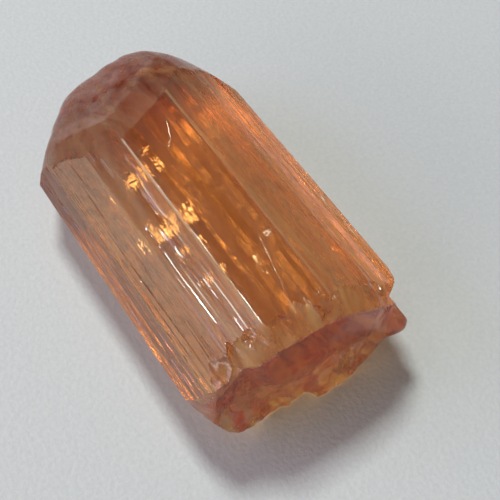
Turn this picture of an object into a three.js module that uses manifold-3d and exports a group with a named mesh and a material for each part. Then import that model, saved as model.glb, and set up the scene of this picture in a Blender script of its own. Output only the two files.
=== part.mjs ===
// A rough topaz crystal: one stubby striated prism, lying on a prism face, with a sloping worn
// termination at its far end and a stepped cleavage break, chipped round its rim, at its near end.
// Millimetres. +X runs along the prism to the broken end, +Z is up, and the origin is on the
// surface that the crystal rests on, under the middle of its length and width.
import * as THREE from "three";
import { mergeVertices } from "three/addons/utils/BufferGeometryUtils.js";
import Module from "manifold-3d";

const wasm = await Module();
wasm.setup();

// Driving sizes. The prism's axis runs along X, AXIS_HEIGHT over the surface, and the shapes
// below are given from that axis and from a mark on it near the middle of the length.
const AXIS_HEIGHT = 3.5;
const BREAK_X = 9.8;
const PRISM_REACH = 12.5;
const STATIONS = 18;
const CUTTER = { width: 14, height: 9, columns: 36, rows: 26, back: 16 };
const SLIVER = 0.004;

// The faces of the prism zone, in order round the axis. angle is that of the outward normal,
// in degrees from +Y towards +Z, reach is the face's distance from the axis, and depth is how
// far its striae cut in.
const PRISM_FACES = [
  { angle: 8, reach: 5.55, striae: 2, depth: 0.06 },
  { angle: 52, reach: 4.09, striae: 6, depth: 0.11 },
  { angle: 68, reach: 3.59, striae: 4, depth: 0.07 },
  { angle: 88, reach: 3.41, striae: 4, depth: 0.02 },
  { angle: 112, reach: 4.04, striae: 5, depth: 0.12 },
  { angle: 137, reach: 4.76, striae: 3, depth: 0.04 },
  { angle: 163, reach: 5.37, striae: 5, depth: 0.11 },
  { angle: 213, reach: 4.95, striae: 3, depth: 0.1 },
  { angle: 242, reach: 4.15, striae: 3, depth: 0.1 },
  { angle: 270, reach: AXIS_HEIGHT, striae: 0, depth: 0 },
  { angle: 308, reach: 4.4, striae: 3, depth: 0.1 },
  { angle: 338, reach: 5.25, striae: 3, depth: 0.08 },
];

// The faces of the far termination. angle is the way each face leans round the axis, tip is the
// x at which its plane meets the axis, and slope is how far it runs back per mm out.
const FAR_FACES = [
  { angle: 103, tip: -11.95, slope: 1.96 },
  { angle: 60, tip: -13.05, slope: 0.88 },
  { angle: 56, tip: -17.0, slope: 2.42 },
  { angle: 124, tip: -14.05, slope: 1.87 },
  { angle: 354, tip: -14.45, slope: 1.55 },
  { angle: 175, tip: -13.2, slope: 1.29 },
  { angle: 270, tip: -10.6, slope: 0.6 },
];
const FAR_WEAR = 0.45;

// How the break stands off its cleavage plane: a low dish, a lump or a nub round each middle,
// [y, z] from the axis. Beyond the crest line the face leans back, the step drops the side next
// to the lost corner, and the corner itself rounds away outside its start.
const BREAK_FORMS = [
  { middle: [0.4, 1.6], radius: 3, height: -0.14 },
  { middle: [1.3, -2.4], radius: 2.1, height: 0.22 },
  { middle: [4.9, -0.6], radius: 1.7, height: 0.66 },
  { middle: [-3.9, -2.9], radius: 2.2, height: 0.4 },
];
const CREST = { side: 2.9, lean: 0.26, slope: 0.16 };
const STEP = { side: -0.9, lean: 0.42, bottom: -2, width: 0.9, drop: 0.36 };
const LOST_CORNER = { side: -4.9, depth: 1.8, power: 1.5 };

// Shell-like chips out of the rim of the break: each is the hollow left by an ellipsoid, with
// its middle and half sizes as [x, y, z] from the axis, turned about X by turn degrees.
const CHIPS = [
  { middle: [9.6, 3.7, 2.75], half: [1.25, 0.9, 0.6], turn: -35 },
  { middle: [10.3, 2.05, 4.0], half: [2.3, 1.35, 1.1], turn: -14 },
  { middle: [10.0, 0.4, 3.9], half: [1.4, 0.75, 0.8], turn: 0 },
  { middle: [10.5, -1.2, 4.1], half: [2.5, 1.4, 1.0], turn: 3 },
  { middle: [8.75, -3.1, 3.42], half: [0.65, 0.6, 0.5], turn: 22 },
  { middle: [10.2, -2.95, 3.75], half: [1.5, 0.95, 1.0], turn: 22 },
  { middle: [9.75, -4.6, 2.6], half: [1.6, 1.05, 0.7], turn: 47 },
  { middle: [10.2, -0.38, -3.6], half: [0.95, 0.95, 1.4], turn: 0 },
  { middle: [10.1, 3.9, -2.9], half: [0.5, 0.7, 0.85], turn: 40 },
];

// The long flake lost from the +Y edge: its floor faces angle, starts at reach from the axis and
// rises by rise degrees towards the break. Its start leans back by lean degrees going out, and on
// by skew degrees going up.
const FLAKE = { angle: 16, reach: 4.45, start: 9.15, rise: 13, lean: 30, skew: 22.7, size: 6 };

const radians = THREE.MathUtils.degToRad;

/** A repeatable number from 0 to 1 for each whole number and stream. */
function chance(index, stream) {
  const wave = Math.sin(index * 127.1 + stream * 311.7) * 43758.5453;
  return wave - Math.floor(wave);
}

/** Where two neighbouring prism faces meet, as [y, z] from the axis. */
function edgeBetween(first, second) {
  const [a, b] = [radians(first.angle), radians(second.angle)];
  const turn = Math.sin(b - a);
  return [
    (first.reach * Math.sin(b) - second.reach * Math.sin(a)) / turn,
    (second.reach * Math.cos(a) - first.reach * Math.cos(b)) / turn,
  ];
}

/** How deep one stria cuts at x, as a share of its face's depth: each fades out at its ends. */
function striaShare(stria, x) {
  const middle = (chance(stria, 1) - 0.5) * BREAK_X;
  const half = BREAK_X * (0.6 + 1.2 * chance(stria, 2));
  const inside = 1 - Math.min(1, Math.abs(x - middle) / half) ** 3;
  return inside * (0.45 + 0.55 * chance(stria, 3));
}

/** The outline of the prism at x, as [y, z] points from the axis, with the striae cut in. */
function outlineAt(x) {
  const points = [];
  let stria = 0;
  PRISM_FACES.forEach((face, i) => {
    const start = edgeBetween(PRISM_FACES.at(i - 1), face);
    const end = edgeBetween(face, PRISM_FACES[(i + 1) % PRISM_FACES.length]);
    const normal = [Math.cos(radians(face.angle)), Math.sin(radians(face.angle))];
    const steps = Math.max(1, 2 * face.striae);
    for (let k = 0; k < steps; k++) {
      const cut = k % 2 ? face.depth * striaShare(stria++, x) : 0;
      points.push([0, 1].map((j) => THREE.MathUtils.lerp(start[j], end[j], k / steps) - cut * normal[j]));
    }
  });
  return points;
}

/** The prism, longer than the crystal: a cylinder whose rings are drawn out to the outlines. */
function prismGeometry() {
  const around = outlineAt(0).length;
  const geometry = new THREE.CylinderGeometry(1, 1, 2 * PRISM_REACH, around, STATIONS);
  const place = geometry.attributes.position;
  for (let i = 0; i < place.count; i++) {
    const [y, x, z] = [place.getZ(i), place.getY(i), place.getX(i)];
    const step = Math.round((Math.atan2(z, y) / (2 * Math.PI)) * around);
    const onAxis = Math.hypot(y, z) < 0.5;
    place.setXYZ(i, x, ...(onAxis ? [0, 0] : outlineAt(x).at(step % around)));
  }
  return geometry;
}

/** The x of the far termination at y, z: the faces that stand furthest in, worn where they meet. */
function farSurface(y, z) {
  let sum = 0;
  for (const { angle, tip, slope } of FAR_FACES) {
    const out = y * Math.cos(radians(angle)) + z * Math.sin(radians(angle));
    sum += Math.exp((tip + slope * out) / FAR_WEAR);
  }
  return FAR_WEAR * Math.log(sum);
}

/** The x of the near break at y, z. */
function nearSurface(y, z) {
  const { smoothstep } = THREE.MathUtils;
  let x = BREAK_X;
  for (const { middle, radius, height } of BREAK_FORMS) {
    x += height * (1 - smoothstep(Math.hypot(y - middle[0], z - middle[1]), 0, radius));
  }
  x -= CREST.slope * Math.max(0, y - CREST.side - CREST.lean * z);
  x -= STEP.drop * smoothstep(STEP.side - y - STEP.lean * (z - STEP.bottom), 0, STEP.width);
  return x - LOST_CORNER.depth * Math.max(0, LOST_CORNER.side - y) ** LOST_CORNER.power;
}

/** A block that takes away all that lies beyond surface(y, z), on the side that sign gives. */
function endCutter(surface, sign) {
  const { width, height, columns, rows } = CUTTER;
  const geometry = new THREE.BoxGeometry(1, width, height, 1, columns, rows);
  const place = geometry.attributes.position;
  for (let i = 0; i < place.count; i++) {
    const inner = place.getX(i) * sign < 0;
    const [y, z] = [place.getY(i), place.getZ(i)];
    place.setX(i, inner ? surface(y, z) : sign * CUTTER.back);
  }
  return geometry;
}

/** The hollow that one chip leaves. */
function chipGeometry({ middle, half, turn }) {
  return new THREE.SphereGeometry(1, 18, 12)
    .scale(...half)
    .rotateX(radians(turn))
    .translate(...middle);
}

/** The slab that the lost flake took with it. */
function flakeGeometry({ angle, reach, start, rise, lean, skew, size }) {
  const [up, back, on] = [rise, -lean, skew].map((angle) => Math.tan(radians(angle)));
  const slant = new THREE.Matrix4().makeShear(up, 0, back, 0, on, 0);
  return new THREE.BoxGeometry(size, size, size)
    .translate(size / 2, size / 2, 0)
    .applyMatrix4(slant)
    .translate(start, reach, 0)
    .rotateX(radians(angle));
}

/** A three.js geometry as a solid that can be cut and joined. */
function solidOf(geometry) {
  geometry.deleteAttribute("normal");
  geometry.deleteAttribute("uv");
  const merged = mergeVertices(geometry, 1e-4);
  return new wasm.Manifold(
    new wasm.Mesh({
      numProp: 3,
      vertProperties: merged.attributes.position.array,
      triVerts: new Uint32Array(merged.index.array),
    }),
  );
}

/** A solid as a three.js geometry. */
function geometryOf(solid) {
  const mesh = solid.getMesh();
  return new THREE.BufferGeometry()
    .setAttribute("position", new THREE.BufferAttribute(mesh.vertProperties, 3))
    .setIndex(new THREE.BufferAttribute(mesh.triVerts, 1));
}

/** The whole crystal, cut from the prism and rid of slivers. */
function crystalSolid() {
  const cuts = [endCutter(farSurface, -1), endCutter(nearSurface, 1), flakeGeometry(FLAKE)];
  cuts.push(...CHIPS.map(chipGeometry));
  const cut = cuts.reduce((left, next) => left.subtract(solidOf(next)), solidOf(prismGeometry()));
  return cut.simplify(SLIVER);
}

const topazMaterial = new THREE.MeshStandardMaterial({
  color: 0xb86a35,
  roughness: 0.2,
  metalness: 0,
});

const crystal = new THREE.Mesh(geometryOf(crystalSolid()), topazMaterial);
crystal.name = "crystal";
crystal.geometry.computeBoundingBox();
const centre = crystal.geometry.boundingBox.getCenter(new THREE.Vector3());
crystal.position.set(-centre.x, -centre.y, AXIS_HEIGHT);

const part = new THREE.Group();
part.add(crystal);
export default part;
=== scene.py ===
"""The looks of the topaz crystal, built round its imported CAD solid.

The crystal is rebuilt from the driving sizes of the part, in finer detail: the long faces carry
striae and grooves or are etched, the two ends are dense height fields, the chips are rippled
hollows, and the inner fractures are thin gaps. Shapes are worked out in millimetres from the
crystal's axis, and become metres when a mesh is made.
"""
import math

import bmesh
import bpy
import numpy as np
from mathutils import Matrix, Vector, noise

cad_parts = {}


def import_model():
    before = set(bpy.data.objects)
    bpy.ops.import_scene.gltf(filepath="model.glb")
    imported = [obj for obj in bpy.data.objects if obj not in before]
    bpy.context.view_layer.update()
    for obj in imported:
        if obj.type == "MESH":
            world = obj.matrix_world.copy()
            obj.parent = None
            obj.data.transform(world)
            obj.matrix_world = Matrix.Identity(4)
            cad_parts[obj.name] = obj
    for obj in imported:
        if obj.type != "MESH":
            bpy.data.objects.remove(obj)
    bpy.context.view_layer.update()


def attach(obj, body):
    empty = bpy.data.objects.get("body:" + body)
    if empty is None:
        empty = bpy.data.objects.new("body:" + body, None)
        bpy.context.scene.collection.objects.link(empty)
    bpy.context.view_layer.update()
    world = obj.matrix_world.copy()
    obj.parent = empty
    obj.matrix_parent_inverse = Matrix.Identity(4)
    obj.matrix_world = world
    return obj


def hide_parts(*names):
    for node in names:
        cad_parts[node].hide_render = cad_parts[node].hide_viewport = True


MM = 0.001
SEED = 20

# The prism's axis runs along X, AXIS_HEIGHT over the surface that the crystal lies on. Shapes are
# given from that axis and from a mark on it near the middle of the length, and MARK is where that
# mark stands in the frame. The prism runs PRISM_REACH to either side before its ends are cut.
# BREAK_X is a little less than in the part, so that the rough break stays inside the part's box.
AXIS_HEIGHT = 3.5
MARK = (0.326, 0.044)
BREAK_X = 9.77
PRISM_REACH = 11.8

# The faces of the prism zone, in order round the axis. angle is that of the outward normal in
# degrees from +Y towards +Z, and reach is the distance from the axis. ridge is how deep the long
# creases between growth steps are, fine is how deep the hair-fine striae are, and pits is how
# deep the face is etched. nicks is the number of spindle-shaped grooves, and satin is how much of
# the surface is dulled by marks too fine to see one by one.
PRISM_FACES = [
    {"angle": 8, "reach": 5.55, "ridge": 0.03, "fine": 0.02, "pits": 0.0, "nicks": 4, "satin": 0.62},
    {"angle": 52, "reach": 4.09, "ridge": 0.04, "fine": 0.022, "pits": 0.0, "nicks": 4, "satin": 0.72},
    {"angle": 68, "reach": 3.59, "ridge": 0.01, "fine": 0.014, "pits": 0.0, "nicks": 0, "satin": 0.75},
    {"angle": 88, "reach": 3.41, "ridge": 0.004, "fine": 0.004, "pits": 0.0, "nicks": 0, "satin": 0.22},
    {"angle": 112, "reach": 4.04, "ridge": 0.012, "fine": 0.012, "pits": 0.0, "nicks": 16, "satin": 0.6},
    {"angle": 137, "reach": 4.76, "ridge": 0.01, "fine": 0.004, "pits": 0.0, "nicks": 0, "satin": 0.2},
    {"angle": 163, "reach": 5.37, "ridge": 0.05, "fine": 0.022, "pits": 0.0, "nicks": 18, "satin": 0.5},
    {"angle": 213, "reach": 4.95, "ridge": 0.03, "fine": 0.01, "pits": 0.1, "nicks": 2, "satin": 0.9},
    {"angle": 242, "reach": 4.15, "ridge": 0.02, "fine": 0.01, "pits": 0.1, "nicks": 2, "satin": 0.9},
    {"angle": 270, "reach": AXIS_HEIGHT, "ridge": 0.0, "fine": 0.0, "pits": 0.09, "nicks": 0, "satin": 0.9},
    {"angle": 308, "reach": 4.4, "ridge": 0.03, "fine": 0.01, "pits": 0.1, "nicks": 2, "satin": 0.9},
    {"angle": 338, "reach": 5.25, "ridge": 0.03, "fine": 0.01, "pits": 0.1, "nicks": 2, "satin": 0.9},
]
UPPER_FACES = PRISM_FACES[1:6]

# Noise for the relief of the faces: how long its lumps are along the prism and how wide they are
# across it, in mm. Each kind has a stream of its own, so that no two kinds run alike.
RIDGE_NOISE = {"long": 24.0, "wide": 0.6, "octaves": 3, "stream": 1}
FINE_NOISE = {"long": 10.0, "wide": 0.16, "octaves": 2, "stream": 2}
PIT_NOISE = {"long": 1.1, "wide": 0.7, "octaves": 4, "stream": 3}
CHIPPED_NOISE = {"long": 0.45, "wide": 2.0, "octaves": 3, "stream": 4}

# The spindle-shaped grooves: the ranges of their half length, half width, steepness of side and
# middle x, and how far they keep from the edges of their face.
NICKS = {"half": (0.3, 3.6), "wide": (0.03, 0.075), "steep": (0.45, 0.85), "x": (-10, 9.5), "inset": 0.22}

# The long edges: how far they are worn round, how deep and how wide they are chipped, and how wide
# a strip beside them is frosted. The relief of a face fades to a share of itself towards its edges.
EDGE_WEAR = 0.045
EDGE_CHIPS = {"depth": 0.03, "width": 0.1}
EDGE_FROST = {"width": 0.06, "satin": 1.0}
EDGE_FADE = {"width": 0.15, "share": 0.35}

# The faces of the far termination: angle is the way each face leans round the axis, tip is the x
# at which its plane meets the axis, and slope is how far it runs back per mm out. FAR_WEAR rounds
# the edges between them, RIM_WEAR the rim where they meet the prism, and FAR_LUMPS are the waves
# on them.
FAR_FACES = [
    {"angle": 103, "tip": -11.95, "slope": 1.96},
    {"angle": 60, "tip": -13.05, "slope": 0.88},
    {"angle": 56, "tip": -17.0, "slope": 2.42},
    {"angle": 124, "tip": -14.05, "slope": 1.87},
    {"angle": 354, "tip": -14.45, "slope": 1.55},
    {"angle": 175, "tip": -13.2, "slope": 1.29},
    {"angle": 270, "tip": -10.6, "slope": 0.6},
]
FAR_WEAR = 0.45
RIM_WEAR = {"width": 0.6, "depth": 0.8}
FAR_LUMPS = [
    {"depth": 0.1, "size": 1.3, "octaves": 2, "stream": 1},
    {"depth": 0.018, "size": 0.5, "octaves": 3, "stream": 2},
]

# How the break stands off its cleavage plane: a low dish, a lump or a nub round each middle,
# (y, z) from the axis. Beyond the crest line the face leans back, the step drops the side next
# to the lost corner, and the corner itself rounds away outside its start.
BREAK_FORMS = [
    {"middle": (0.4, 1.6), "radius": 3.0, "height": -0.14},
    {"middle": (1.3, -2.4), "radius": 2.1, "height": 0.22},
    {"middle": (4.9, -0.6), "radius": 1.7, "height": 0.66},
    {"middle": (-3.9, -2.9), "radius": 2.2, "height": 0.4},
]
CREST = {"side": 2.9, "lean": 0.26, "slope": 0.16}
STEP = {"side": -0.9, "lean": 0.42, "bottom": -2.0, "width": 0.9, "drop": 0.36}
LOST_CORNER = {"side": -4.9, "depth": 1.8, "power": 1.5}

# The finer forms of the break. Its lower part is rough, with shells and lumps that cut in, and so
# is the side of the lost corner, to a share of that. Terraces run across the lump, the nub is worn
# back beyond its side, and a bevel of small breaks follows the upper rim. The rest has only shallow
# waves. A pair in y or z is where a form starts and where it has come in fully.
LOWER_PART = {"z": (0.4, -0.6), "y": (3.6, 2.6)}
CORNER_SIDE = {"y": (-2.4, -3.2), "share": 0.4}
ROUGH_BREAK = {"shells": 0.2, "shell_size": 0.8, "lumps": 0.05, "lump_size": 0.4}
TERRACES = {"middle": (1.9, -1.9), "spread": (0.75, 1.2), "depth": 0.16, "pitch": 0.34}
NUB_WEAR = {"side": 4.75, "depth": 0.9}
BROKEN_RIM = {"y": (-4.4, -3.6), "width": 0.45, "power": 0.7, "depth": 1.25, "lump_size": 0.8}
RIM_SHELLS = {"depth": 0.3, "size": 0.55}
CLEAVAGE_LUMPS = {"depth": 0.012, "size": 1.2, "octaves": 4, "stream": 5}

# Shell-like chips out of the rim of the break, each with its middle and half sizes as (x, y, z)
# from the axis, turned about X by turn degrees. The hollows wander and ripple by a share of their
# size.
CHIPS = [
    {"middle": (9.6, 3.7, 2.75), "half": (1.25, 0.9, 0.6), "turn": -35},
    {"middle": (10.3, 2.05, 4.0), "half": (2.3, 1.35, 1.1), "turn": -14},
    {"middle": (10.0, 0.4, 3.9), "half": (1.4, 0.75, 0.8), "turn": 0},
    {"middle": (10.5, -1.2, 4.1), "half": (2.5, 1.4, 1.0), "turn": 3},
    {"middle": (8.75, -3.1, 3.42), "half": (0.65, 0.6, 0.5), "turn": 22},
    {"middle": (10.2, -2.95, 3.75), "half": (1.5, 0.95, 1.0), "turn": 22},
    {"middle": (9.75, -4.6, 2.6), "half": (1.6, 1.05, 0.7), "turn": 47},
    {"middle": (10.2, -0.38, -3.6), "half": (0.95, 0.95, 1.4), "turn": 0},
    {"middle": (10.1, 3.9, -2.9), "half": (0.5, 0.7, 0.85), "turn": 40},
]
CHIP_WANDER = {"share": 0.2, "lumps": 1.6}
CHIP_RIPPLE = {"share": 0.006, "waves": 30}

# The long flake lost from the +Y edge: its floor faces angle, starts at reach from the axis and
# rises by rise degrees towards the break. Its start leans back by lean degrees going out, and on
# by skew degrees going up.
FLAKE = {"angle": 16, "reach": 4.45, "start": 9.15, "rise": 13, "lean": 30, "skew": 22.7, "size": 6.0}

# How dull the ends and the hollows are: the far end, the cleavage face, what the break's rim adds
# to that, the share of it that the lower part adds, the chips and the flake, and the fractures.
FAR_SATIN = 0.6
CLEAVAGE_SATIN = 0.1
RIM_SATIN = 0.75
LOWER_SATIN_SHARE = 0.6
CHIP_SATIN = 0.6
FRACTURE_SATIN = 0.06

# How finely the crystal is meshed, in mm or counts. The faces of the underside, with angles between
# UNDER_ANGLES, are meshed coarser. Edges sharper than SHARP_ANGLE degrees are shaded sharp.
OUTLINE_STEP = 0.01
UNDER_ANGLES = (190, 350)
AROUND_STEP = {"top": 0.042, "under": 0.12}
STATIONS = 132
END_BLOCK = {"width": 13.0, "height": 8.4, "cell": 0.07, "back": 14.0}
CHIP_RINGS = 30
FRACTURE_RINGS = 10
FRACTURE_AROUND = 36
SHARP_ANGLE = 28

# Inner fractures: thin wavy gaps, all near one direction, that flash where they mirror the light.
# seen is where each shows on the surface, as (x, y) from the axis, and through is the face that it
# shows through. under is how far it lies below that place, half gives its half sizes, and turn is
# by how many degrees it is turned, seen from above. The last five lie close under the top face:
# a straight crack, a curved one in two parts, and two glints.
FRACTURES = [
    {"seen": (-2.5, -1.6), "through": "top", "under": 5.0, "half": (0.2, 0.4), "turn": 10},
    {"seen": (-1.45, -2.1), "through": "top", "under": 5.2, "half": (0.55, 0.2), "turn": 0},
    {"seen": (-1.4, -2.45), "through": "side", "under": 4.6, "half": (0.5, 0.22), "turn": 0},
    {"seen": (-1.2, -3.05), "through": "side", "under": 4.4, "half": (0.4, 0.26), "turn": 0},
    {"seen": (-1.8, 1.0), "through": "top", "under": 4.6, "half": (0.24, 0.17), "turn": 0},
    {"seen": (1.95, -1.9), "through": "top", "under": 5.2, "half": (0.55, 0.36), "turn": 15},
    {"seen": (1.45, -1.4), "through": "top", "under": 4.6, "half": (0.24, 0.14), "turn": 30},
    {"seen": (1.9, -2.6), "through": "side", "under": 4.4, "half": (0.6, 0.22), "turn": 0},
    {"seen": (2.15, -3.1), "through": "side", "under": 4.2, "half": (0.42, 0.26), "turn": 0},
    {"seen": (1.8, -3.55), "through": "side", "under": 4.0, "half": (0.7, 0.14), "turn": 0},
    {"seen": (3.65, -2.1), "through": "top", "under": 5.0, "half": (0.45, 0.22), "turn": 0},
    {"seen": (5.4, -2.0), "through": "top", "under": 4.6, "half": (0.3, 0.28), "turn": 0},
    {"seen": (6.05, -0.5), "through": "top", "under": 3.0, "half": (0.65, 0.14), "turn": -4},
    {"seen": (6.6, -0.15), "through": "top", "under": 0.4, "half": (2.1, 0.03), "turn": -12},
    {"seen": (-2.9, 0.05), "through": "top", "under": 0.5, "half": (0.5, 0.035), "turn": -20},
    {"seen": (-2.2, -0.3), "through": "top", "under": 0.5, "half": (0.5, 0.035), "turn": -40},
    {"seen": (4.6, 0.71), "through": "top", "under": 0.3, "half": (0.14, 0.2), "turn": 0},
    {"seen": (8.45, 0.78), "through": "top", "under": 0.3, "half": (0.16, 0.1), "turn": 20},
]

# Half the width of a fracture's gap at its middle, the height of the waves on its walls, and by
# what share of its size its outline wanders.
FRACTURE_GAP = 0.012
FRACTURE_WAVE = 0.015
FRACTURE_WANDER = 0.25

# Rows of tiny fractures, strewn by about GLINT_SPREAD to either side of y: two rows along the long
# edges, and two behind the chips at the break's rim.
GLINT_SPREAD = 0.12
GLINTS = [
    {"through": "shoulder", "y": -2.95, "from": 2.6, "to": 8.6, "under": 0.16, "size": 0.08, "count": 9},
    {"through": "low", "y": -4.98, "from": 0.4, "to": 7.4, "under": 0.16, "size": 0.08, "count": 8},
    {"through": "top", "y": 0.2, "from": 8.3, "to": 9.2, "under": 0.8, "size": 0.16, "count": 4},
    {"through": "top", "y": 1.5, "from": 8.3, "to": 9.0, "under": 0.8, "size": 0.16, "count": 3},
]

# For each face that fractures are seen through: how far the line of sight inside the topaz runs in
# x and y per mm down, and how far a fracture's upward normal leans in x and y so that it mirrors
# the key light along that line.
SIGHT = {
    "top": {"run": (-0.344, 0.19), "lean": (0.038, -0.088)},
    "side": {"run": (-0.366, 0.4), "lean": (0.031, -0.182)},
    "shoulder": {"run": (-0.366, 0.4), "lean": (0.031, -0.27)},
    "low": {"run": (-0.406, 0.653), "lean": (0.033, -0.513)},
}

# Topaz in the orange-brown of this crystal. A dull face is rougher, and a share of it is milky.
# Fine streaks along the prism run over it, STREAK_DEPTH mm deep.
TOPAZ_IOR = 1.62
ABSORPTION_COLOUR = (0.92, 0.6, 0.13)
ABSORPTION_DENSITY = 250.0
CLEAR_ROUGHNESS = 0.02
DULL_ROUGHNESS = 1.2
MILK_COLOUR = (1.0, 0.82, 0.36)
MILK_SHARE = 0.225
MILK_TINT = 1.5
STREAK_DEPTH = 0.012

# A red-brown darkening of the far end, in blotches: its colour, and the x in the frame, in mm, at which it
# starts and at which it is full. It darkens the far end's colour. As painted shade, it also dims and
# reddens the far end's reflections, which would otherwise mirror the bright paper.
FAR_DARKENING_COLOUR = (0.7, 0.24, 0.09)
FAR_DARKENING_REACH = (-4.5, -7.5)

# The sheet of paper that the crystal lies on, in mm: FLOOR_Z is a hair under its lowest point.
PAPER_DARK = (0.66, 0.665, 0.675)
PAPER_LIGHT = (0.78, 0.785, 0.795)
PAPER_GRAIN_DEPTH = 0.022
PAPER_ROUGHNESS = 0.9
PAPER_SHINE = 0.2
FLOOR_HALF = 400.0
FLOOR_Z = -0.03

# Lumps per metre along each axis, in the noise of the materials, and the factor and the offset
# that give the clouds and the blotches their contrast.
CLOUD_SCALE = (160, 1900, 1900)
CLOUD_CONTRAST = (1.7, -0.3)
STREAK_SCALE = (300, 9000, 9000)
BLOTCH_SCALE = (900, 1300, 1300)
BLOTCH_CONTRAST = (2.5, -0.5)
GRAIN_SCALE = (4500, 4500, 4500)

# The camera looks down on the crystal from beside its broken end. It stands at distance mm from
# the mark and looks at aim, in mm from the mark. roll is in degrees, and lens in mm.
CAMERA = {
    "azimuth": 58.954,
    "elevation": 52.526,
    "distance": 53.642,
    "aim": (3.011, 0.934, 0.0),
    "roll": 3.178,
    "lens": 79.81,
}

# Soft lights, LIGHT_DISTANCE metres off: the azimuth and elevation of each in degrees, its width
# and height as a share of that distance, how bright its face is, and its tint. The dim room
# behind them lights the rest.
LIGHT_DISTANCE = 0.4
LIGHTS = [
    {"name": "key", "sky": (-93.5, 64.5), "size": (0.22, 0.22), "bright": 39.5, "tint": (0.9, 0.99, 0.94)},
    {"name": "window", "sky": (-45, 60), "size": (0.22, 0.22), "bright": 2.4, "tint": (1.0, 0.94, 0.94)},
    {"name": "room", "sky": (-25, 34), "size": (0.6, 0.35), "bright": 3.4, "tint": (0.6, 0.55, 0.9)},
    {"name": "wall", "sky": (8, 14), "size": (1.0, 0.4), "bright": 4.0, "tint": (0.84, 0.8, 0.74)},
    {"name": "panel", "sky": (-32, 13), "size": (0.45, 0.28), "bright": 2.1, "tint": (1.0, 0.86, 0.65)},
]
ROOM_COLOUR = (0.95, 0.85, 0.8)
ROOM_STRENGTH = 0.12


# --- Prism ---------------------------------------------------------------------------------


def edge_between(first, second):
    """Where two neighbouring prism faces meet, as (y, z) from the axis."""
    a, b = math.radians(first["angle"]), math.radians(second["angle"])
    turn = math.sin(b - a)
    return np.array([
        (first["reach"] * math.sin(b) - second["reach"] * math.sin(a)) / turn,
        (second["reach"] * math.cos(a) - first["reach"] * math.cos(b)) / turn,
    ])


def worn_outline():
    """The prism's outline as (arc, y, z) with its edges worn round, and where each face starts."""
    corners = [edge_between(PRISM_FACES[i - 1], face) for i, face in enumerate(PRISM_FACES)]
    corners = np.array([*corners, corners[0]])
    starts = np.concatenate([[0], np.cumsum(np.hypot(*np.diff(corners, axis=0).T))])
    count = round(starts[-1] / OUTLINE_STEP)
    arc = np.arange(count) / count * starts[-1]
    waves = np.fft.rfftfreq(count, starts[-1] / count)
    keep = np.exp(-2 * (math.pi * waves * EDGE_WEAR) ** 2)
    y, z = (
        np.fft.irfft(np.fft.rfft(np.interp(arc, starts, corners[:, axis])) * keep, count)
        for axis in (0, 1)
    )
    return np.stack([arc, y, z]), starts


def relief_noise(x, y, z, kind):
    """Fractal noise from -1 to 1 in lumps of the kind's length and width."""
    long, wide, away = kind["long"], kind["wide"], kind["stream"] * 9.7
    flat = [
        noise.fractal(Vector((a / long + away, b / wide, c / wide)), 0.9, 2.0, kind["octaves"])
        for a, b, c in zip(x.ravel(), y.ravel(), z.ravel())
    ]
    return np.clip(np.array(flat).reshape(x.shape), -1, 1)


def nick_depth(face, along, length, x, rng):
    """Spindle-shaped grooves, each with its own length along the prism."""
    depth = np.zeros((len(x), len(along)))
    shortest, longest = NICKS["half"]
    for _ in range(face["nicks"]):
        half = shortest * (longest / shortest) ** rng.uniform(0, 1)
        wide = rng.uniform(*NICKS["wide"])
        steep = rng.uniform(*NICKS["steep"])
        middle = rng.uniform(NICKS["inset"], length - NICKS["inset"])
        centre = rng.uniform(*NICKS["x"])
        swell = np.sqrt(np.clip(1 - ((x - centre) / half) ** 2, 0, 1))
        inside = wide * swell[:, None] - np.abs(along - middle)[None, :]
        depth = np.maximum(depth, steep * np.clip(inside, 0, None))
    return depth


def face_relief(face, x, y, z):
    """How far a face's striae and pits cut in at each point."""
    depth = np.zeros_like(x)
    if face["ridge"]:
        wave = relief_noise(x, y, z, RIDGE_NOISE)
        creases = np.clip(1 - 5 * np.abs(wave), 0, 1)
        steps = (1 + wave) / 2
        depth += face["ridge"] * creases
        depth += face["ridge"] * 0.6 * steps
    if face["fine"]:
        depth += face["fine"] * (1 + relief_noise(x, y, z, FINE_NOISE)) / 2
    if face["pits"]:
        depth += face["pits"] * (1 + relief_noise(x, y, z, PIT_NOISE)) / 2
    return depth


def face_cut(face, along, length, x, y, z, rng):
    """How far in a face lies at each point: its relief and nicks, and its chipped edges."""
    inside = np.minimum(along, length - along)
    cut = face_relief(face, x, y, z) + nick_depth(face, along, length, x[:, 0], rng)
    cut *= np.clip(inside / EDGE_FADE["width"], EDGE_FADE["share"], 1)
    chipped = np.clip(relief_noise(x, y, z, CHIPPED_NOISE), 0, 1)
    cut += EDGE_CHIPS["depth"] * chipped * np.clip(1 - inside / EDGE_CHIPS["width"], 0, 1)
    frosted = inside < EDGE_FROST["width"]
    return cut, np.where(frosted, EDGE_FROST["satin"], face["satin"])


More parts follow.
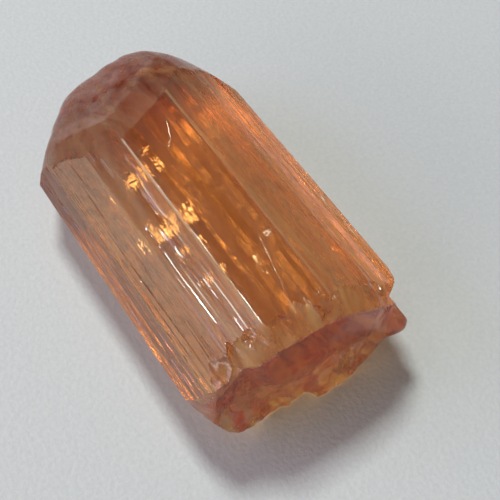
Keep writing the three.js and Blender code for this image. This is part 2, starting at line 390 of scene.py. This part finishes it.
def prism_rings():
    """The outlines of the prism, as an array of [station, point, (x, y, z)], and each strip's satin."""
    rng = np.random.default_rng(SEED)
    stations = np.linspace(-PRISM_REACH, PRISM_REACH, STATIONS)
    (arc, outline_y, outline_z), starts = worn_outline()
    out_y = np.gradient(outline_z)
    out_z = -np.gradient(outline_y)
    steep = np.hypot(out_y, out_z)
    lines = (outline_y, outline_z, out_y / steep, out_z / steep)
    pieces, satin = [], []
    for face, start, end in zip(PRISM_FACES, starts, starts[1:]):
        under = UNDER_ANGLES[0] < face["angle"] < UNDER_ANGLES[1]
        length = end - start
        count = max(4, round(length / AROUND_STEP["under" if under else "top"]))
        along = np.arange(count) / count * length
        y, z, normal_y, normal_z = (
            np.interp(start + along, arc, line, period=starts[-1]) for line in lines
        )
        x = np.repeat(stations[:, None], count, axis=1)
        y, z = np.broadcast_to(y, x.shape), np.broadcast_to(z, x.shape)
        cut, dullness = face_cut(face, along, length, x, y, z, rng)
        pieces.append(np.stack([x, y - cut * normal_y, z - cut * normal_z], axis=2))
        satin += list(dullness)
    return np.concatenate(pieces, axis=1), blended_round(satin)


def blended_round(values):
    """Values round a ring, each blended with its neighbours."""
    weights = np.exp(-np.linspace(-2, 2, 5) ** 2)
    padded = np.concatenate([values[-2:], values, values[:2]])
    return np.convolve(padded, weights / weights.sum(), "valid")


# --- Ends ----------------------------------------------------------------------------------


def smoothstep(value, start, end):
    """A smooth rise from 0 where the value is start to 1 where it is end."""
    share = np.clip((value - start) / (end - start), 0, 1)
    return share * share * (3 - 2 * share)


def rough_height(y, z, size, octaves, stream):
    """Fractal noise over an end, with lumps of about size mm, from -1 to 1."""
    flat = [
        noise.fractal(Vector((a / size, b / size, stream * 7.3)), 0.9, 2.1, octaves)
        for a, b in zip(y.ravel(), z.ravel())
    ]
    return np.array(flat).reshape(y.shape)


def lump_depth(y, z, lumps):
    """How far in lumps of one kind push the surface."""
    return lumps["depth"] * (1 + rough_height(y, z, lumps["size"], lumps["octaves"], lumps["stream"]))


def shell_height(y, z, size, stream):
    """Shell-like scallops of about size mm, from 0 in the hollows to 1 on the ridges."""
    flat = [
        noise.voronoi(Vector((a / size, b / size, stream * 5.1)))[0][0]
        for a, b in zip(y.ravel(), z.ravel())
    ]
    return np.clip(np.array(flat).reshape(y.shape), 0, 1) ** 2


def depth_inside(y, z):
    """How far in a point is from the nearest of the prism's upper faces."""
    depths = []
    for face in UPPER_FACES:
        angle = math.radians(face["angle"])
        depths.append(face["reach"] - y * math.cos(angle) - z * math.sin(angle))
    return np.min(depths, axis=0)


def far_surface(y, z):
    """The x of the far termination: the faces that stand furthest in, worn where they meet."""
    total = np.zeros_like(y)
    for face in FAR_FACES:
        angle = math.radians(face["angle"])
        out = y * math.cos(angle) + z * math.sin(angle)
        total += np.exp((face["tip"] + face["slope"] * out) / FAR_WEAR)
    x = FAR_WEAR * np.log(total)
    x += RIM_WEAR["depth"] * np.clip(1 - depth_inside(y, z) / RIM_WEAR["width"], 0, 1.5) ** 2
    for lumps in FAR_LUMPS:
        x += lump_depth(y, z, lumps)
    return x


def far_satin(y, z):
    """How dull the far termination is."""
    return np.full_like(y, FAR_SATIN)


def break_form(y, z):
    """The x of the near break without its roughness."""
    x = np.full_like(y, BREAK_X)
    for form in BREAK_FORMS:
        away = np.hypot(y - form["middle"][0], z - form["middle"][1])
        x += form["height"] * (1 - smoothstep(away, 0, form["radius"]))
    x -= CREST["slope"] * np.maximum(0, y - CREST["side"] - CREST["lean"] * z)
    step = STEP["side"] - y - STEP["lean"] * (z - STEP["bottom"])
    x -= STEP["drop"] * smoothstep(step, 0, STEP["width"])
    x -= LOST_CORNER["depth"] * np.maximum(0, LOST_CORNER["side"] - y) ** LOST_CORNER["power"]
    return x


def lower_part(y, z):
    """Where the rough lower part of the break is, from 0 to 1. It ends short of the nub."""
    return smoothstep(z, *LOWER_PART["z"]) * smoothstep(y, *LOWER_PART["y"])


def terrace_depth(y, z):
    """How far in the terraces across the lump cut."""
    middle, spread = TERRACES["middle"], TERRACES["spread"]
    share = np.exp(-(((y - middle[0]) / spread[0]) ** 2) - ((z - middle[1]) / spread[1]) ** 2)
    return share * TERRACES["depth"] * (0.5 + 0.5 * np.sin(y / TERRACES["pitch"] * 2 * math.pi))


def rim_share(y, z):
    """How far the bevel of small breaks along the upper rim of the break has taken over."""
    broken = np.clip(1 - depth_inside(y, z) / BROKEN_RIM["width"], 0, 1.5) ** BROKEN_RIM["power"]
    return broken * smoothstep(y, *BROKEN_RIM["y"])


def near_surface(y, z):
    """The x of the near break."""
    x = break_form(y, z)
    rough = np.maximum(lower_part(y, z), CORNER_SIDE["share"] * smoothstep(y, *CORNER_SIDE["y"]))
    x -= rough * ROUGH_BREAK["shells"] * shell_height(y, z, ROUGH_BREAK["shell_size"], 3)
    x -= rough * ROUGH_BREAK["lumps"] * (1 + rough_height(y, z, ROUGH_BREAK["lump_size"], 4, 4))
    x -= terrace_depth(y, z)
    x -= NUB_WEAR["depth"] * np.maximum(0, y - NUB_WEAR["side"]) ** 2
    rim = rim_share(y, z)
    x -= rim * BROKEN_RIM["depth"] * (0.75 + 0.6 * rough_height(y, z, BROKEN_RIM["lump_size"], 3, 6))
    x -= rim * RIM_SHELLS["depth"] * shell_height(y, z, RIM_SHELLS["size"], 7)
    return x - lump_depth(y, z, CLEAVAGE_LUMPS)


def near_satin(y, z):
    """How dull the near break is: clear on the cleavage face, frosted along its rim and lower part."""
    rim = smoothstep(depth_inside(y, z), BROKEN_RIM["width"] + 0.25, BROKEN_RIM["width"] + 0.1)
    return CLEAVAGE_SATIN + RIM_SATIN * np.maximum(rim, LOWER_SATIN_SHARE * lower_part(y, z))


# --- Meshes --------------------------------------------------------------------------------


def mesh_object(name, vertices, faces, satin=0.0):
    """A mesh object from points in mm. satin is how dull its faces are: one number, or one each."""
    mesh = bpy.data.meshes.new(name)
    mesh.from_pydata([tuple(p) for p in np.asarray(vertices) * MM], [], faces)
    shape = bmesh.new()
    shape.from_mesh(mesh)
    bmesh.ops.recalc_face_normals(shape, faces=shape.faces)
    shape.to_mesh(mesh)
    shape.free()
    layer = mesh.attributes.new("satin", "FLOAT", "FACE")
    layer.data.foreach_set("value", np.broadcast_to(np.float32(satin), len(faces)).copy())
    made = bpy.data.objects.new(name, mesh)
    bpy.context.scene.collection.objects.link(made)
    return made


def ring_faces(rings, around):
    """The faces between neighbouring closed rings, each of around points, stored ring by ring."""
    return [
        (
            s * around + k,
            s * around + (k + 1) % around,
            (s + 1) * around + (k + 1) % around,
            (s + 1) * around + k,
        )
        for s in range(rings - 1)
        for k in range(around)
    ]


def turned_over(faces):
    """The same faces, looking the other way."""
    return [tuple(reversed(face)) for face in faces]


def tube_object(name, rings, satin):
    """A closed mesh through rings of points, with a flat cap at each end and a satin for each strip."""
    stations, around = rings.shape[:2]
    faces = ring_faces(stations, around)
    faces.append(tuple(reversed(range(around))))
    faces.append(tuple(range((stations - 1) * around, stations * around)))
    return mesh_object(name, rings.reshape(-1, 3), faces, [*np.tile(satin, stations - 1), 0, 0])


def end_block(name, surface, dullness, sign):
    """A block that holds all that lies beyond surface(y, z), on the side that sign gives."""
    columns = round(END_BLOCK["width"] / END_BLOCK["cell"])
    rows = round(END_BLOCK["height"] / END_BLOCK["cell"])
    y, z = np.meshgrid(
        np.linspace(-END_BLOCK["width"] / 2, END_BLOCK["width"] / 2, columns + 1),
        np.linspace(-END_BLOCK["height"] / 2, END_BLOCK["height"] / 2, rows + 1),
    )
    sheet = np.stack([surface(y, z), y, z], axis=2).reshape(-1, 3)
    corners = [[sign * END_BLOCK["back"], y[r, c], z[r, c]] for r in (0, -1) for c in (0, -1)]
    wide = columns + 1
    faces = [
        (r * wide + c, (r + 1) * wide + c, (r + 1) * wide + c + 1, r * wide + c + 1)
        for r in range(rows)
        for c in range(columns)
    ]
    low_low, low_high, high_low, high_high = range(len(sheet), len(sheet) + 4)
    faces += [
        (*range(wide), low_high, low_low),
        (*reversed(range(rows * wide, rows * wide + wide)), high_low, high_high),
        (*reversed(range(0, rows * wide + 1, wide)), low_low, high_low),
        (*range(columns, rows * wide + wide, wide), high_high, low_high),
        (low_low, low_high, high_high, high_low),
    ]
    if sign > 0:
        faces = turned_over(faces)
    satin = dullness(y, z)[:-1, :-1].ravel()
    return mesh_object(name, np.vstack([sheet, corners]), faces, [*satin, 0, 0, 0, 0, 0])


def chance(index, stream):
    """A repeatable number from 0 to 1 for each whole number and stream, as in the part."""
    wave = math.sin(index * 127.1 + stream * 311.7) * 43758.5453
    return wave - math.floor(wave)


def chip_points(index, chip):
    """Points on a rippled ellipsoid: rings from front to back, and then its two tips."""
    around = 2 * CHIP_RINGS
    polar = np.linspace(0, math.pi, CHIP_RINGS + 1)[1:-1]
    turn = np.arange(around) / around * 2 * math.pi
    points = [
        (math.cos(p), math.sin(p) * math.cos(t), math.sin(p) * math.sin(t))
        for p in polar
        for t in turn
    ]
    points = np.array(points + [(1.0, 0, 0), (-1.0, 0, 0)])
    away = np.linalg.norm(points - np.array([0, 0, 1.0]), axis=1)
    place = Vector((index * 3.1, 0, 0))
    lumps = CHIP_WANDER["lumps"]
    wander = np.array([noise.fractal(Vector(p) * lumps + place, 1.0, 2.0, 3) for p in points])
    ripple = CHIP_RIPPLE["share"] * np.sin(away * CHIP_RIPPLE["waves"] + 5 * chance(index, 9))
    points *= (1 + CHIP_WANDER["share"] * wander + ripple)[:, None]
    points *= np.array(chip["half"])
    tilt = np.array(Matrix.Rotation(math.radians(chip["turn"]), 3, "X"))
    return points @ tilt.T + np.array(chip["middle"])


def chip_object(index, chip):
    """The hollow that one chip leaves."""
    points = chip_points(index, chip)
    around = 2 * CHIP_RINGS
    faces = ring_faces(CHIP_RINGS - 1, around)
    front, back = len(points) - 2, len(points) - 1
    last = front - around
    faces += [(front, (k + 1) % around, k) for k in range(around)]
    faces += [(back, last + k, last + (k + 1) % around) for k in range(around)]
    return mesh_object(f"chip_{index}", points, turned_over(faces), CHIP_SATIN)


def flake_object():
    """The slab that the lost flake took with it."""
    size = FLAKE["size"]
    up, back, on = (math.tan(math.radians(a)) for a in (FLAKE["rise"], -FLAKE["lean"], FLAKE["skew"]))
    corners = [
        (size * (a + back * b + on * c), size * (b + up * a), size * c)
        for a in (0, 1)
        for b in (0, 1)
        for c in (-0.5, 0.5)
    ]
    tilt = np.array(Matrix.Rotation(math.radians(FLAKE["angle"]), 3, "X"))
    points = (np.array(corners) + [FLAKE["start"], FLAKE["reach"], 0]) @ tilt.T
    faces = [(0, 1, 3, 2), (4, 6, 7, 5), (0, 4, 5, 1), (2, 3, 7, 6), (0, 2, 6, 4), (1, 5, 7, 3)]
    return mesh_object("flake", points, faces, CHIP_SATIN)


# --- Fractures -----------------------------------------------------------------------------


def upper_height(y):
    """The height over the axis of the prism's upper surface, at y."""
    heights = []
    for face in UPPER_FACES:
        angle = math.radians(face["angle"])
        heights.append((face["reach"] - y * math.cos(angle)) / math.sin(angle))
    return min(heights)


def glint_fractures():
    """The tiny fractures of each row of glints."""
    rng = np.random.default_rng(SEED)
    return [
        {
            "seen": (rng.uniform(row["from"], row["to"]), row["y"] + rng.normal(0, GLINT_SPREAD)),
            "through": row["through"],
            "under": row["under"],
            "half": (row["size"] * rng.uniform(0.6, 1.5), row["size"] * rng.uniform(0.3, 0.6)),
            "turn": 0,
        }
        for row in GLINTS
        for _ in range(row["count"])
    ]


def wall_lift(a, b, lean, index):
    """How high the middle of a gap lies at (a, b) from its centre: it leans, and it waves."""
    wave = noise.noise(Vector((a * 4, b * 9, index * 1.7)))
    return -lean[0] * a - lean[1] * b + FRACTURE_WAVE * wave


def fracture_points(index, fracture):
    """A lens-shaped gap about its centre: rings of its upper and then its lower wall, and two tips."""
    lean = SIGHT[fracture["through"]]["lean"]
    lay = math.radians(fracture["turn"])
    points = []
    for side in (1, -1):
        for ring in range(1, FRACTURE_RINGS + (side > 0)):
            out = ring / FRACTURE_RINGS
            for k in range(FRACTURE_AROUND):
                turn = k / FRACTURE_AROUND * 2 * math.pi
                bearing = Vector((math.cos(turn) * 1.6, math.sin(turn) * 1.6, index * 2.3))
                shape = 1 + FRACTURE_WANDER * noise.noise(bearing)
                along = fracture["half"][0] * out * shape * math.cos(turn)
                across = fracture["half"][1] * out * shape * math.sin(turn)
                a = along * math.cos(lay) - across * math.sin(lay)
                b = along * math.sin(lay) + across * math.cos(lay)
                gap = side * FRACTURE_GAP * (1 - out ** 2)
                points.append((a, b, wall_lift(a, b, lean, index) + gap))
    tip = wall_lift(0, 0, lean, index)
    return np.array([*points, (0, 0, tip + FRACTURE_GAP), (0, 0, tip - FRACTURE_GAP)])


def fracture_object(index, fracture):
    """A thin lens-shaped gap with wavy walls, inside the crystal."""
    x, y = fracture["seen"]
    under = fracture["under"]
    run = SIGHT[fracture["through"]]["run"]
    centre = np.array([x + run[0] * under, y + run[1] * under, upper_height(y) - under])
    points = fracture_points(index, fracture)
    rings = np.arange((2 * FRACTURE_RINGS - 1) * FRACTURE_AROUND).reshape(-1, FRACTURE_AROUND).tolist()
    upper, lower = rings[:FRACTURE_RINGS], rings[FRACTURE_RINGS:] + [rings[FRACTURE_RINGS - 1]]
    faces = []
    for wall, tip in ((upper, len(points) - 2), (lower, len(points) - 1)):
        for k in range(FRACTURE_AROUND):
            j = (k + 1) % FRACTURE_AROUND
            faces.append((tip, wall[0][k], wall[0][j]))
            faces += [(a[k], b[k], b[j], a[j]) for a, b in zip(wall, wall[1:])]
    return mesh_object(f"fracture_{index}", centre + points, faces, FRACTURE_SATIN)


# --- Crystal -------------------------------------------------------------------------------


def cut_away(solid, cutters):
    """Take every cutter away from the solid, and give it the mesh that is left."""
    for cutter in cutters:
        cut = solid.modifiers.new(cutter.name, "BOOLEAN")
        cut.operation = "DIFFERENCE"
        cut.solver = "MANIFOLD"
        cut.object = cutter
    shape = solid.evaluated_get(bpy.context.evaluated_depsgraph_get())
    mesh = bpy.data.meshes.new_from_object(shape)
    solid.modifiers.clear()
    solid.data = mesh
    for cutter in cutters:
        bpy.data.meshes.remove(cutter.data)


def crystal_object():
    """The whole crystal, cut from the prism and placed where the CAD node stands."""
    crystal = tube_object("topaz_crystal", *prism_rings())
    cutters = [
        end_block("far_block", far_surface, far_satin, -1),
        end_block("near_block", near_surface, near_satin, 1),
        flake_object(),
    ]
    cutters += [chip_object(i, chip) for i, chip in enumerate(CHIPS)]
    cutters += [fracture_object(i, gap) for i, gap in enumerate(FRACTURES + glint_fractures())]
    cut_away(crystal, cutters)
    crystal.data.transform(Matrix.Translation(Vector((*MARK, AXIS_HEIGHT)) * MM))
    crystal.data.shade_smooth()
    crystal.data.set_sharp_from_angle(angle=math.radians(SHARP_ANGLE))
    crystal.data.materials.clear()
    crystal.data.materials.append(topaz_material())
    return crystal


# --- Materials -----------------------------------------------------------------------------


def new_material(name):
    """A material, with its node tree, its shader and the coordinates that its noise runs on."""
    material = bpy.data.materials.new(name)
    material.use_nodes = True
    tree = material.node_tree
    place = tree.nodes.new("ShaderNodeTexCoord").outputs["Object"]
    return material, tree, tree.nodes["Principled BSDF"], place


def stretched_noise(tree, place, scale, detail):
    """Noise with scale lumps per metre along each axis."""
    mapping = tree.nodes.new("ShaderNodeMapping")
    mapping.inputs["Scale"].default_value = scale
    texture = tree.nodes.new("ShaderNodeTexNoise")
    texture.inputs["Scale"].default_value = 1
    texture.inputs["Detail"].default_value = detail
    tree.links.new(place, mapping.inputs["Vector"])
    tree.links.new(mapping.outputs["Vector"], texture.inputs["Vector"])
    return texture.outputs["Fac"]


def calculate(tree, operation, *values):
    """A math node on sockets or numbers, kept from 0 to 1."""
    node = tree.nodes.new("ShaderNodeMath")
    node.operation = operation
    node.use_clamp = True
    for socket, value in zip(node.inputs, values):
        if isinstance(value, float):
            socket.default_value = value
        else:
            tree.links.new(value, socket)
    return node.outputs[0]


def mixed_colour(tree, factor, first, second):
    """The colour that goes from first to second as factor does from 0 to 1: sockets or numbers."""
    node = tree.nodes.new("ShaderNodeMix")
    node.data_type = "RGBA"
    tree.links.new(factor, node.inputs[0])
    for socket, colour in ((node.inputs[6], first), (node.inputs[7], second)):
        if isinstance(colour, tuple):
            socket.default_value = (*colour, 1)
        else:
            tree.links.new(colour, socket)
    return node.outputs[2]


def add_bump(tree, shader, height, distance):
    """A bump node of distance mm that feeds the shader."""
    bump = tree.nodes.new("ShaderNodeBump")
    bump.inputs["Distance"].default_value = distance * MM
    tree.links.new(height, bump.inputs["Height"])
    tree.links.new(bump.outputs["Normal"], shader.inputs["Normal"])
    return bump


def far_darkening_cover(tree, place):
    """How much of the surface the far-end darkening covers: blotches that thicken towards the far end."""
    ends = tree.nodes.new("ShaderNodeSeparateXYZ")
    tree.links.new(place, ends.inputs[0])
    far = tree.nodes.new("ShaderNodeMapRange")
    far.inputs["From Min"].default_value = FAR_DARKENING_REACH[0] * MM
    far.inputs["From Max"].default_value = FAR_DARKENING_REACH[1] * MM
    tree.links.new(ends.outputs["X"], far.inputs["Value"])
    blotches = stretched_noise(tree, place, BLOTCH_SCALE, 4)
    patchy = calculate(tree, "MULTIPLY_ADD", blotches, *BLOTCH_CONTRAST)
    return calculate(tree, "MULTIPLY", far.outputs["Result"], patchy)


def topaz_material():
    """Clear topaz, dulled to satin where its growth marks and wear are too fine to model."""
    material, tree, shader, place = new_material("topaz")
    shader.inputs["IOR"].default_value = TOPAZ_IOR
    satin = tree.nodes.new("ShaderNodeAttribute")
    satin.attribute_name = "satin"
    clouds = stretched_noise(tree, place, CLOUD_SCALE, 4)
    patchy = calculate(tree, "MULTIPLY_ADD", clouds, *CLOUD_CONTRAST)
    dull = calculate(tree, "MULTIPLY", satin.outputs["Fac"], patchy)
    blur = calculate(tree, "MULTIPLY", dull, dull)
    roughness = calculate(tree, "MULTIPLY_ADD", blur, DULL_ROUGHNESS, CLEAR_ROUGHNESS)
    tree.links.new(roughness, shader.inputs["Roughness"])
    clear = calculate(tree, "MULTIPLY_ADD", dull, -MILK_SHARE, 1.0)
    tree.links.new(clear, shader.inputs["Transmission Weight"])
    milk = mixed_colour(tree, calculate(tree, "MULTIPLY", dull, MILK_TINT), (1, 1, 1), MILK_COLOUR)
    # Painted shade: towards the far end the base colour darkens to red-brown, and the same tint dims and
    # reddens the reflections there.
    far_darkened = far_darkening_cover(tree, place)
    tree.links.new(mixed_colour(tree, far_darkened, milk, FAR_DARKENING_COLOUR), shader.inputs["Base Color"])
    tree.links.new(mixed_colour(tree, far_darkened, (1, 1, 1), FAR_DARKENING_COLOUR), shader.inputs["Specular Tint"])
    bump = add_bump(tree, shader, stretched_noise(tree, place, STREAK_SCALE, 3), STREAK_DEPTH)
    tree.links.new(calculate(tree, "ADD", satin.outputs["Fac"], 0.1), bump.inputs["Strength"])
    volume = tree.nodes.new("ShaderNodeVolumeAbsorption")
    volume.inputs["Color"].default_value = (*ABSORPTION_COLOUR, 1)
    volume.inputs["Density"].default_value = ABSORPTION_DENSITY
    tree.links.new(volume.outputs["Volume"], tree.nodes["Material Output"].inputs["Volume"])
    return material


def paper_material():
    """Plain pale paper with a faint grain."""
    material, tree, shader, place = new_material("paper")
    shader.inputs["Roughness"].default_value = PAPER_ROUGHNESS
    shader.inputs["Specular IOR Level"].default_value = PAPER_SHINE
    grain = stretched_noise(tree, place, GRAIN_SCALE, 3)
    tree.links.new(mixed_colour(tree, grain, PAPER_DARK, PAPER_LIGHT), shader.inputs["Base Color"])
    add_bump(tree, shader, grain, PAPER_GRAIN_DEPTH)
    return material


# --- Stage ---------------------------------------------------------------------------------


def direction(azimuth, elevation):
    """The unit vector towards a place in the sky, azimuth 0 standing at -Y and 90 at +X."""
    a, e = math.radians(azimuth), math.radians(elevation)
    return Vector((math.sin(a) * math.cos(e), -math.cos(a) * math.cos(e), math.sin(e)))


def make_floor():
    """The sheet of paper, as the stage."""
    half = FLOOR_HALF
    corners = [(-half, -half), (half, -half), (half, half), (-half, half)]
    floor = mesh_object("floor", [(x, y, FLOOR_Z) for x, y in corners], [(0, 1, 2, 3)])
    floor.data.materials.append(paper_material())


def make_camera():
    """The camera at the photograph's viewing angle."""
    data = bpy.data.cameras.new("camera")
    camera = bpy.data.objects.new("camera", data)
    bpy.context.scene.collection.objects.link(camera)
    data.lens = CAMERA["lens"]
    data.clip_start, data.clip_end = 0.001, 10
    mark = Vector((*MARK, AXIS_HEIGHT))
    place = mark + CAMERA["distance"] * direction(CAMERA["azimuth"], CAMERA["elevation"])
    forward = (mark + Vector(CAMERA["aim"]) - place).normalized()
    right = forward.cross(Vector((0, 0, 1))).normalized()
    up = right.cross(forward)
    upright = Matrix((right, up, -forward)).transposed()
    roll = Matrix.Rotation(math.radians(CAMERA["roll"]), 3, "Z")
    camera.matrix_world = Matrix.Translation(place * MM) @ (upright @ roll).to_4x4()
    bpy.context.scene.camera = camera


def make_lights():
    """The soft lights, and the dim room behind them."""
    world = bpy.data.worlds.new("room")
    world.use_nodes = True
    bpy.context.scene.world = world
    background = world.node_tree.nodes["Background"]
    background.inputs["Color"].default_value = (*ROOM_COLOUR, 1)
    background.inputs["Strength"].default_value = ROOM_STRENGTH
    for soft in LIGHTS:
        data = bpy.data.lights.new(soft["name"], "AREA")
        data.shape = "RECTANGLE"
        data.size, data.size_y = (share * LIGHT_DISTANCE for share in soft["size"])
        data.energy = soft["bright"] * math.pi * data.size * data.size_y
        data.color = soft["tint"]
        light = bpy.data.objects.new(soft["name"], data)
        bpy.context.scene.collection.objects.link(light)
        light.location = direction(*soft["sky"]) * LIGHT_DISTANCE
        light.rotation_euler = light.location.to_track_quat("Z", "Y").to_euler()


def main():
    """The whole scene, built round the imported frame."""
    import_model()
    scene = bpy.context.scene
    scene.view_settings.view_transform = "Standard"
    scene.cycles.max_bounces = 32
    scene.cycles.glossy_bounces = 24
    scene.cycles.transmission_bounces = 24
    scene.cycles.sample_clamp_indirect = 0
    make_camera()
    make_lights()
    make_floor()
    crystal = crystal_object()
    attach(crystal, "root")
    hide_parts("crystal")


main()
